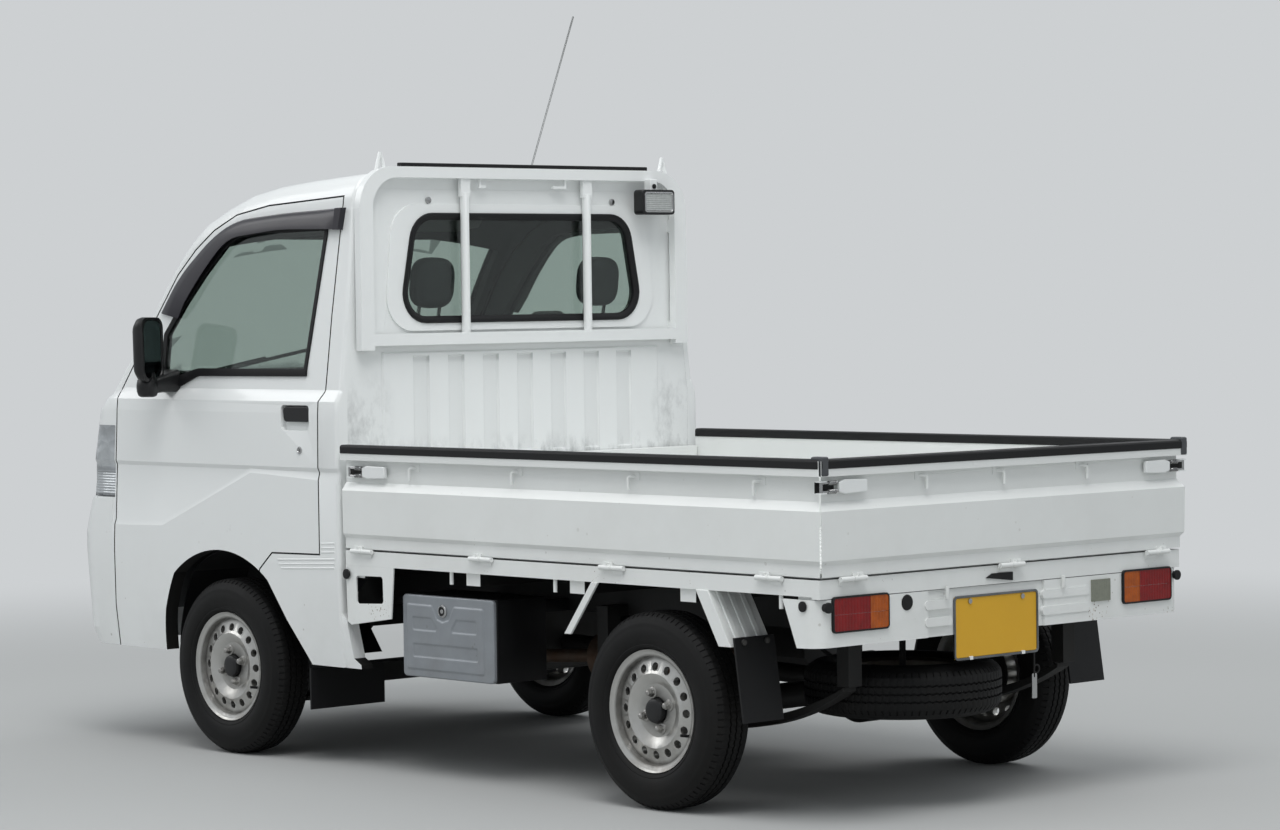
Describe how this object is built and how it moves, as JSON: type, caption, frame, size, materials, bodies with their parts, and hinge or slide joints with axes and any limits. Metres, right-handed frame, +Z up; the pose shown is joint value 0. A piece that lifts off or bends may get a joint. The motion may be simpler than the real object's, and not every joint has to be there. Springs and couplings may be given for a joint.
{
  "type": "kei truck",
  "caption": "Small cab-over flatbed truck with drop-side bed, hinged doors and gates, turning wheels, steering, guard frame and side toolbox.",
  "frame": {"origin": "on the ground, under the middle of the truck's box", "axes": "+X forward, +Y to the truck's left, +Z up"},
  "size_m": [3.395, 1.77, 2.2962],
  "materials": {
    "white_paint": "gloss",
    "clear_lens": "clear",
    "glass": "clear",
    "dark_plastic": "satin",
    "seat_fabric": "woven",
    "bright_steel": "dull",
    "chassis_black": "matte",
    "cast_metal": "rough",
    "wheel_silver": "satin",
    "tyre": "matte",
    "rubber": "matte",
    "red_lens": "gloss",
    "plate_yellow": "satin",
    "lid_grey": "satin"
  },
  "bodies": {
    "truck": {"roof_panel": "white_paint", "cab_rear_panel": "white_paint", "front_panel": "white_paint", "cab_sides": "white_paint", "front_bumper": "white_paint", "headlamps": "clear_lens", "cab_glass": "glass", "cab_floor": "white_paint", "dashboard": "dark_plastic", "seats": "seat_fabric", "guard_frame": "white_paint", "work_lamp": "dark_plastic", "aerial": "bright_steel", "chassis_frame": "chassis_black", "engine": "cast_metal", "drive_shafts": "chassis_black", "rear_axle": "chassis_black", "leaf_springs": "chassis_black", "front_suspension": "chassis_black", "exhaust": "bright_steel", "fuel_tank": "dark_plastic", "spare_rim": "wheel_silver", "spare_tyre": "tyre", "bed_floor": "white_paint", "bed_frame": "white_paint", "rear_panel": "white_paint", "tail_lamps": "red_lens", "number_plate": "plate_yellow", "side_panels": "white_paint", "rear_arches": "white_paint", "mud_flaps": "rubber", "toolbox": "dark_plastic"},
    "door_left": {"door_left": "white_paint", "door_glass_left": "glass", "mirror_left": "dark_plastic"},
    "side_gate_left": {"side_gate_left": "white_paint"},
    "knuckle_left": {"knuckle_left": "chassis_black"},
    "wheel_front_left": {"rim_front_left": "wheel_silver", "tyre_front_left": "tyre"},
    "wheel_rear_left": {"rim_rear_left": "wheel_silver", "tyre_rear_left": "tyre"},
    "door_right": {"door_right": "white_paint", "door_glass_right": "glass", "mirror_right": "dark_plastic"},
    "side_gate_right": {"side_gate_right": "white_paint"},
    "knuckle_right": {"knuckle_right": "chassis_black"},
    "wheel_front_right": {"rim_front_right": "wheel_silver", "tyre_front_right": "tyre"},
    "wheel_rear_right": {"rim_rear_right": "wheel_silver", "tyre_rear_right": "tyre"},
    "tailgate": {"tailgate": "white_paint"},
    "toolbox_lid": {"toolbox_lid": "lid_grey"},
    "steering_wheel": {"steering_wheel": "dark_plastic"}
  },
  "joints": [
    {"name": "door_left_hinge", "type": "hinge", "parent": "truck", "child": "door_left", "pos_m": [1.449, 0.728, 0.9], "axis": [0, 0, -1], "range_deg": [0, 65]},
    {"name": "side_gate_left_hinge", "type": "hinge", "parent": "truck", "child": "side_gate_left", "pos_m": [-0.7, 0.73, 0.649], "axis": [-1, 0, 0], "range_deg": [0, 172]},
    {"name": "door_right_hinge", "type": "hinge", "parent": "truck", "child": "door_right", "pos_m": [1.449, -0.728, 0.9], "axis": [0, 0, 1], "range_deg": [0, 65]},
    {"name": "side_gate_right_hinge", "type": "hinge", "parent": "truck", "child": "side_gate_right", "pos_m": [-0.7, -0.73, 0.649], "axis": [1, 0, 0], "range_deg": [0, 172]},
    {"name": "tailgate_hinge", "type": "hinge", "parent": "truck", "child": "tailgate", "pos_m": [-1.69, 0, 0.649], "axis": [0, -1, 0], "range_deg": [0, 172]},
    {"name": "toolbox_lid_hinge", "type": "hinge", "parent": "truck", "child": "toolbox_lid", "pos_m": [-0.165, 0.702, 0.292], "axis": [-1, 0, 0], "range_deg": [0, 90]},
    {"name": "steer_left", "type": "hinge", "parent": "truck", "child": "knuckle_left", "pos_m": [0.8735, 0.6, 0.19], "axis": [0, -0.175, 0.9846], "range_deg": [-33, 33]},
    {"name": "steer_right", "type": "hinge", "parent": "truck", "child": "knuckle_right", "pos_m": [0.8735, -0.6, 0.19], "axis": [0, 0.175, 0.9846], "range_deg": [-33, 33]},
    {"name": "steering_wheel_turn", "type": "hinge", "parent": "truck", "child": "steering_wheel", "pos_m": [1.115, -0.345, 1.075], "axis": [-0.6, 0, 0.8], "range_deg": [-561, 561]},
    {"name": "spin_front_left", "type": "hinge", "parent": "knuckle_left", "child": "wheel_front_left", "pos_m": [0.8735, 0.65, 0.268], "axis": [0, 1, 0], "continuous": true},
    {"name": "spin_front_right", "type": "hinge", "parent": "knuckle_right", "child": "wheel_front_right", "pos_m": [0.8735, -0.65, 0.268], "axis": [0, 1, 0], "continuous": true},
    {"name": "spin_rear_left", "type": "hinge", "parent": "truck", "child": "wheel_rear_left", "pos_m": [-1.0265, 0.65, 0.268], "axis": [0, 1, 0], "continuous": true},
    {"name": "spin_rear_right", "type": "hinge", "parent": "truck", "child": "wheel_rear_right", "pos_m": [-1.0265, -0.65, 0.268], "axis": [0, 1, 0], "continuous": true}
  ],
  "couplings": [
    {"joint": "steer_right", "follows": "steer_left", "ratio": 1},
    {"joint": "steering_wheel_turn", "follows": "steer_left", "ratio": 17}
  ]
}
